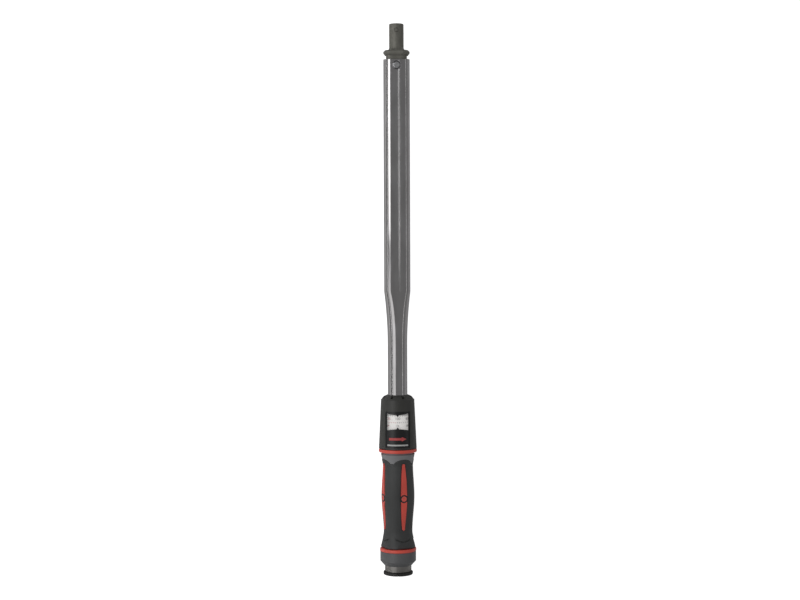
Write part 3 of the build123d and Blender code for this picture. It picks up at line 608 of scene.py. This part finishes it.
# ------------------------------------------------------------------ panel marks
# Two plain printed marks under the window: a red bar that points the way the wrench tightens,
# and a narrow white bar. They stand a hair proud of the panel and follow its curve.
HOUSING_LOW = 140.5
HOUSING_TOP = 194.2
HOUSING_R_LOW = 20.9
HOUSING_R_TOP = 18.4
PANEL_SINK = 0.5


def panel_radius(z):
    share = (z - HOUSING_LOW) / (HOUSING_TOP - HOUSING_LOW)
    return HOUSING_R_LOW + (HOUSING_R_TOP - HOUSING_R_LOW) * share - PANEL_SINK


def panel_mark(name, outline, columns=24):
    """A thin mark on the panel. outline gives the low and high edge at a distance from the middle."""
    rings = []
    for step in range(columns + 1):
        x, low, high = outline(step / columns)
        ring = []
        for z, proud in ((low, -0.1), (low, 0.05), (high, 0.05), (high, -0.1)):
            reach = panel_radius(z) + proud
            ring.append(Vector((x, -math.sqrt(reach**2 - x**2), z)))
        rings.append(ring)
    return skin(name, rings, closed=False)


ARROW_Z = 152.0


def arrow_outline(share):
    """A bar with a pointed end on the right and a cut tail on the left."""
    x = -9.5 + 19.0 * share
    taper = min(1.0, (1 - share) / 0.22)
    half = 0.12 + 2.0 * taper * (0.62 if share < 0.72 else 1.0)
    return x, ARROW_Z - half, ARROW_Z + half


red_mark = dress(panel_mark("direction_bar", arrow_outline, 60), red_print)
white_print = moulded("white_print", (0.62, 0.62, 0.61), (0.5, 0.6), 2500, 0.00001)
white_mark = dress(panel_mark("white_bar", lambda share: (-11.3 + 22.6 * share, 144.4, 146.1)), white_print)
for piece in (red_mark, white_mark):
    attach(piece, "handle")

# ------------------------------------------------------------------ grip
# Soft rubber moulded over a hard core in four lobes. Each lobe is flattened where its insert
# sits, rises in an arch over the core's flare, and ends below in a curved step.
CORE_R = 12.95
GRIP_LOW = 30.5
GRIP_POINTS = ((30.5, 19.2), (38.0, 17.6), (49.0, 15.85), (85.5, 18.2), (112.0, 17.0), (124.0, 16.45))
GRIP_FLAT = 17.3
GRIP_ROWS = 210
GRIP_COLUMNS = 320
LOBE_ANGLES = (-67.5, 22.5, 112.5, 202.5)
ARCH_LOW = 123.6
ARCH_RISE = 5.6
ARCH_HALF = math.radians(38)
FLARE_LOW = 124.0
FLARE_SLOPE = 2.25 / 9.9
STEP_Z = 38.9
INSERT_LOW = 50.8
INSERT_TOP = 124.3
INSERT_END = 1.5
INSERT_MIDDLE = 3.45


def eased(points, z):
    """A smooth curve through (height, value) points."""
    index = max(i for i in range(len(points) - 1) if i == 0 or points[i][0] <= z)
    before = points[max(index - 1, 0)]
    here = points[index]
    after = points[index + 1]
    beyond = points[min(index + 2, len(points) - 1)]
    gap = after[0] - here[0]
    t = min(max((z - here[0]) / gap, 0), 1)
    slope_here = (after[1] - before[1]) / (after[0] - before[0]) * gap
    slope_after = (beyond[1] - here[1]) / (beyond[0] - here[0]) * gap
    return (
        here[1] * (2 * t**3 - 3 * t**2 + 1)
        + slope_here * (t**3 - 2 * t**2 + t)
        + after[1] * (3 * t**2 - 2 * t**3)
        + slope_after * (t**3 - t**2)
    )


def insert_half_width(z):
    """Half the width of an insert at a height: a long lens with rounded ends."""
    middle = (INSERT_LOW + INSERT_TOP) / 2
    half_length = (INSERT_TOP - INSERT_LOW) / 2
    left = half_length - abs(z - middle)
    if left <= 0:
        return 0.0
    lens = INSERT_MIDDLE - (INSERT_MIDDLE - INSERT_END) * (abs(z - middle) / half_length) ** 2
    return lens * math.sqrt(1 - max(1 - left / INSERT_END, 0) ** 2)


def off_lobe(turn):
    """The angle from the middle of the nearest lobe."""
    return min((math.remainder(turn - math.radians(a), 2 * math.pi) for a in LOBE_ANGLES), key=abs)


def arch(away):
    """Height of the rubber's upper edge at an angle from a lobe's middle."""
    return ARCH_LOW + ARCH_RISE * max(0, 1 - (away / ARCH_HALF) ** 2) ** 0.6


def grip_radius(away, z):
    """The turned grip, flattened at each lobe and lifted clear of the flare under the arches."""
    turned_r = eased(GRIP_POINTS, min(z, FLARE_LOW))
    flat_r = GRIP_FLAT / math.cos(away)
    softness = 0.10
    reach = -softness * math.log(math.exp(-turned_r / softness) + math.exp(-flat_r / softness))
    if z > FLARE_LOW - 3:
        reach += 0.45 * min(1, (z - FLARE_LOW + 3) / 3)
    if z > FLARE_LOW:
        reach += FLARE_SLOPE * (z - FLARE_LOW)
    return reach


def grip_dip(away, z, reach):
    """How far the surface is sunk round an insert and under the step at a lobe's lower end."""
    across = abs(away) * reach
    half = insert_half_width(z)
    dip = 0.0
    if half and across < half + 0.8:
        dip = 0.5 * min(1, (half + 0.8 - across) / 0.4)
    below = STEP_Z + 0.037 * across**2 - z
    if across < 10.5 and 0 < below < 6.0:
        sink = 1.15 if below < 1.3 else 0.45 * (1 - (below - 1.3) / 4.7)
        dip = max(dip, sink * min(1, (10.5 - across) / 3.0) * min(1, below / 0.3))
    ridge = math.exp(-(((abs(away) - math.pi / 4) * reach / 1.6) ** 2))
    return dip - 0.14 * ridge * min(1, max(0, (z - 44) / 10)) * min(1, max(0, (120 - z) / 10))


rings = []
for row in range(GRIP_ROWS + 3):
    ring = []
    for column in range(GRIP_COLUMNS):
        turn = 2 * math.pi * column / GRIP_COLUMNS
        away = off_lobe(turn)
        top = arch(away)
        z = GRIP_LOW + (top - GRIP_LOW) * min(row, GRIP_ROWS) / GRIP_ROWS
        reach = grip_radius(away, z)
        reach -= grip_dip(away, z, reach)
        reach -= 0.45 * max(0, 1 - min(z - GRIP_LOW, top - z) / 0.8) ** 2
        if row > GRIP_ROWS:
            reach = CORE_R
            z = min(z, FLARE_LOW) if row == GRIP_ROWS + 1 else GRIP_LOW
        ring.append(Vector((reach * math.cos(turn), reach * math.sin(turn), z)))
    rings.append(ring)
grip = smooth(skin("rubber_grip", rings), 40)
grip_rubber = moulded("grip_rubber", (0.054, 0.056, 0.056), (0.46, 0.60), 2200, 0.00005, 0.10)
dress(grip, grip_rubber)
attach(grip, "handle")
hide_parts("soft_grip")

# ------------------------------------------------------------------ grip core, rings and inserts
# The hard light grey core shows as a flared collar above the rubber. Bright red plastic rings
# close the handle at both ends, and a long red insert is pressed into each lobe.
core_grey = moulded("core_grey", (0.27, 0.27, 0.28), (0.38, 0.50), 1500, 0.00003, 0.06)
for name in ("grip_core", "drum_ring", "scale_carrier"):
    dress(nodes[name], core_grey)

red_plastic = moulded("red_plastic", (0.88, 0.115, 0.085), (0.30, 0.42), 1500, 0.00002, 0.08)
for name in ("red_ring_upper", "red_ring_lower"):
    dress(nodes[name], red_plastic)
for number in range(1, 5):
    dress(nodes[f"grip_insert_{number}"], red_plastic)


def stud(name, profile, angle, z):
    """A round piece turned about the line that stands out of a lobe at an angle and a height."""
    turn = math.radians(angle)
    out = Vector((math.cos(turn), math.sin(turn), 0))
    side = Vector((-math.sin(turn), math.cos(turn), 0))
    rings = []
    for step in range(40):
        swing = 2 * math.pi * step / 40
        across = side * math.cos(swing) + Vector((0, 0, math.sin(swing)))
        rings.append([out * (GRIP_FLAT + lift) + across * r + Vector((0, 0, z)) for r, lift in profile])
    return smooth(skin(name, rings), 40)


BOSS_Z = 85.8
boss_black = moulded("boss_black", (0.03, 0.03, 0.03), (0.45, 0.6), 1800, 0.00003, 0.1)
boss_red = moulded("boss_red", (0.86, 0.15, 0.12), (0.28, 0.38), 1500, 0.00002, 0.06)
groove_profile = softened([(2.9, -1.0), (4.5, -1.0), (4.5, 0.5), (2.9, 0.5)], 0.15, 2)
ring_profile = softened([(1.25, -1.0), (3.0, -1.0), (3.0, 0.72), (1.25, 0.72)], 0.25, 3)
dot_profile = softened([(0.02, -1.0), (1.0, -1.0), (1.0, 0.62), (0.02, 0.62)], 0.15, 3)
for number, angle in enumerate(LOBE_ANGLES, start=1):
    groove = dress(stud(f"boss_groove_{number}", groove_profile, angle, BOSS_Z), boss_black)
    boss = dress(stud(f"boss_ring_{number}", ring_profile, angle, BOSS_Z), boss_red)
    dot = dress(stud(f"boss_dot_{number}", dot_profile, angle, BOSS_Z), red_plastic)
    for piece in (groove, boss, dot):
        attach(piece, "handle")

# ------------------------------------------------------------------ rear collar and knob
# The dark collar closes the handle. The anodised knob runs in it: it is turned to set the load
# and pulled out to unlock. Its neck is knurled, and a black cap with a notch closes its end.
collar_dark = moulded("collar_dark", (0.135, 0.137, 0.142), (0.36, 0.48), 1500, 0.00003, 0.08)
dress(nodes["rear_collar"], collar_dark)
cap_black = moulded("cap_black", (0.018, 0.017, 0.016), (0.45, 0.6), 1500, 0.00004, 0.1)
dress(nodes["knob_cap"], cap_black)
dress(nodes["knob_seal"], cap_black)
knob_grey = metal("knob_grey", (0.25, 0.24, 0.23), (0.34, 0.33, 0.315), (0.36, 0.50), (1, 0.1, 0.1), 1300)
dress(nodes["adjuster_knob"], knob_grey)
KNURL_R = 14.42
KNURL_ROWS = 8
KNURL_COLUMNS = 84
KNURL_PITCH = 0.78


def knurl_point(wide, tall, high):
    """A four-sided point for copying, on a base just under the surface, pointing along +X."""
    corners = ((wide / 2, 0), (0, tall / 2), (-wide / 2, 0), (0, -tall / 2))
    base = [Vector((-0.3, y, z)) for y, z in corners]
    tip = [Vector((high, 0.12 * corner.y, 0.12 * corner.z)) for corner in base]
    return skin("knurl_point", [base, tip], closed=False, place=Matrix())


knurl = ring_of(
    "knob_knurl", knurl_point(1.06, 1.5, 0.26), knob_grey, KNURL_COLUMNS, KNURL_R, 4.75,
    rows=KNURL_ROWS, pitch=KNURL_PITCH, stagger=0.5,
)
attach(knurl, "knob")

# ------------------------------------------------------------------ floor, light and camera
# A pale studio floor that the wrench lies on, softboxes along its left side, weak strips over it
# and on its right, and a camera that looks straight down on it with the spigot at the top.
floor_mesh = bmesh.new()
bmesh.ops.create_circle(floor_mesh, cap_ends=True, segments=96, radius=9.0)
floor_data = bpy.data.meshes.new("floor")
floor_mesh.to_mesh(floor_data)
floor_mesh.free()
floor = link(bpy.data.objects.new("floor", floor_data))
floor_white, tree, shader, place = finish_tree("floor_white")
shader.inputs["Base Color"].default_value = (0.9, 0.9, 0.9, 1)
shader.inputs["Roughness"].default_value = 0.9
shader.inputs["Specular IOR Level"].default_value = 0.1
shader.inputs["Emission Color"].default_value = (1, 1, 1, 1)
seen = tree.nodes.new("ShaderNodeLightPath")
glow = tree.nodes.new("ShaderNodeMapRange")
glow.inputs["To Min"].default_value = 0.0
glow.inputs["To Max"].default_value = 0.9
tree.links.new(seen.outputs["Is Camera Ray"], glow.inputs["Value"])
tree.links.new(glow.outputs["Result"], shader.inputs["Emission Strength"])
dress(floor, floor_white)

ROOM_LIGHT = 0.25
world = bpy.data.worlds.new("studio")
world.use_nodes = True
bpy.context.scene.world = world
tree = world.node_tree
background = tree.nodes["Background"]
background.inputs["Color"].default_value = (1, 1, 1, 1)
seen = tree.nodes.new("ShaderNodeLightPath")
level = tree.nodes.new("ShaderNodeMapRange")
level.inputs["To Min"].default_value = ROOM_LIGHT
level.inputs["To Max"].default_value = 1.0
tree.links.new(seen.outputs["Is Camera Ray"], level.inputs["Value"])
tree.links.new(level.outputs["Result"], background.inputs["Strength"])
bpy.context.scene.view_settings.view_transform = "Standard"


def softbox(name, angle, along, distance, size, power):
    """A softbox over the wrench: its angle towards the right side, and its place along the length."""
    turn = math.radians(angle)
    aim = Vector((along, 0, AXIS_HEIGHT))
    lamp = bpy.data.lights.new(name, "AREA")
    lamp.shape = "RECTANGLE"
    lamp.size, lamp.size_y = size
    lamp.energy = power
    obj = link(bpy.data.objects.new(name, lamp))
    obj.location = aim + Vector((0, -math.sin(turn), math.cos(turn))) * distance
    obj.rotation_mode = "QUATERNION"
    obj.rotation_quaternion = (aim - obj.location).to_track_quat("-Z", "Y")
    return obj


softbox("left_main", -33, 0.52, 1.5, (0.9, 0.75), 5.2)
softbox("left_low", -38, -0.45, 1.5, (0.9, 0.9), 2.4)
softbox("right_strip", 62, 0.1, 1.6, (1.6, 0.10), 0.5)
softbox("upper_strip", 4.6, 0.40, 2.2, (0.8, 0.05), 0.16)
bounce = softbox("left_bounce", -66, 0.0, 0.62, (1.5, 0.3), 4.0)
bounce.rotation_quaternion = Vector((0, 0.35, -1)).to_track_quat("-Z", "Y")

VIEW_DISTANCE = 1.85
VIEW_WIDTH = 0.880
lens = bpy.data.cameras.new("camera")
lens.sensor_width = 36.0
lens.lens = 36.0 * VIEW_DISTANCE / VIEW_WIDTH
camera = link(bpy.data.objects.new("camera", lens))
stand = Vector((0.0030, -VIEW_DISTANCE, 0.3754))
look = (Vector((0.0030, 0, 0.3036)) - stand).to_track_quat("-Z", "Y")
look = look @ Quaternion((0, 0, 1), math.radians(-0.2))
camera.location = LAID_DOWN @ stand
camera.rotation_mode = "QUATERNION"
camera.rotation_quaternion = LAID_DOWN.to_quaternion() @ look
bpy.context.scene.camera = camera
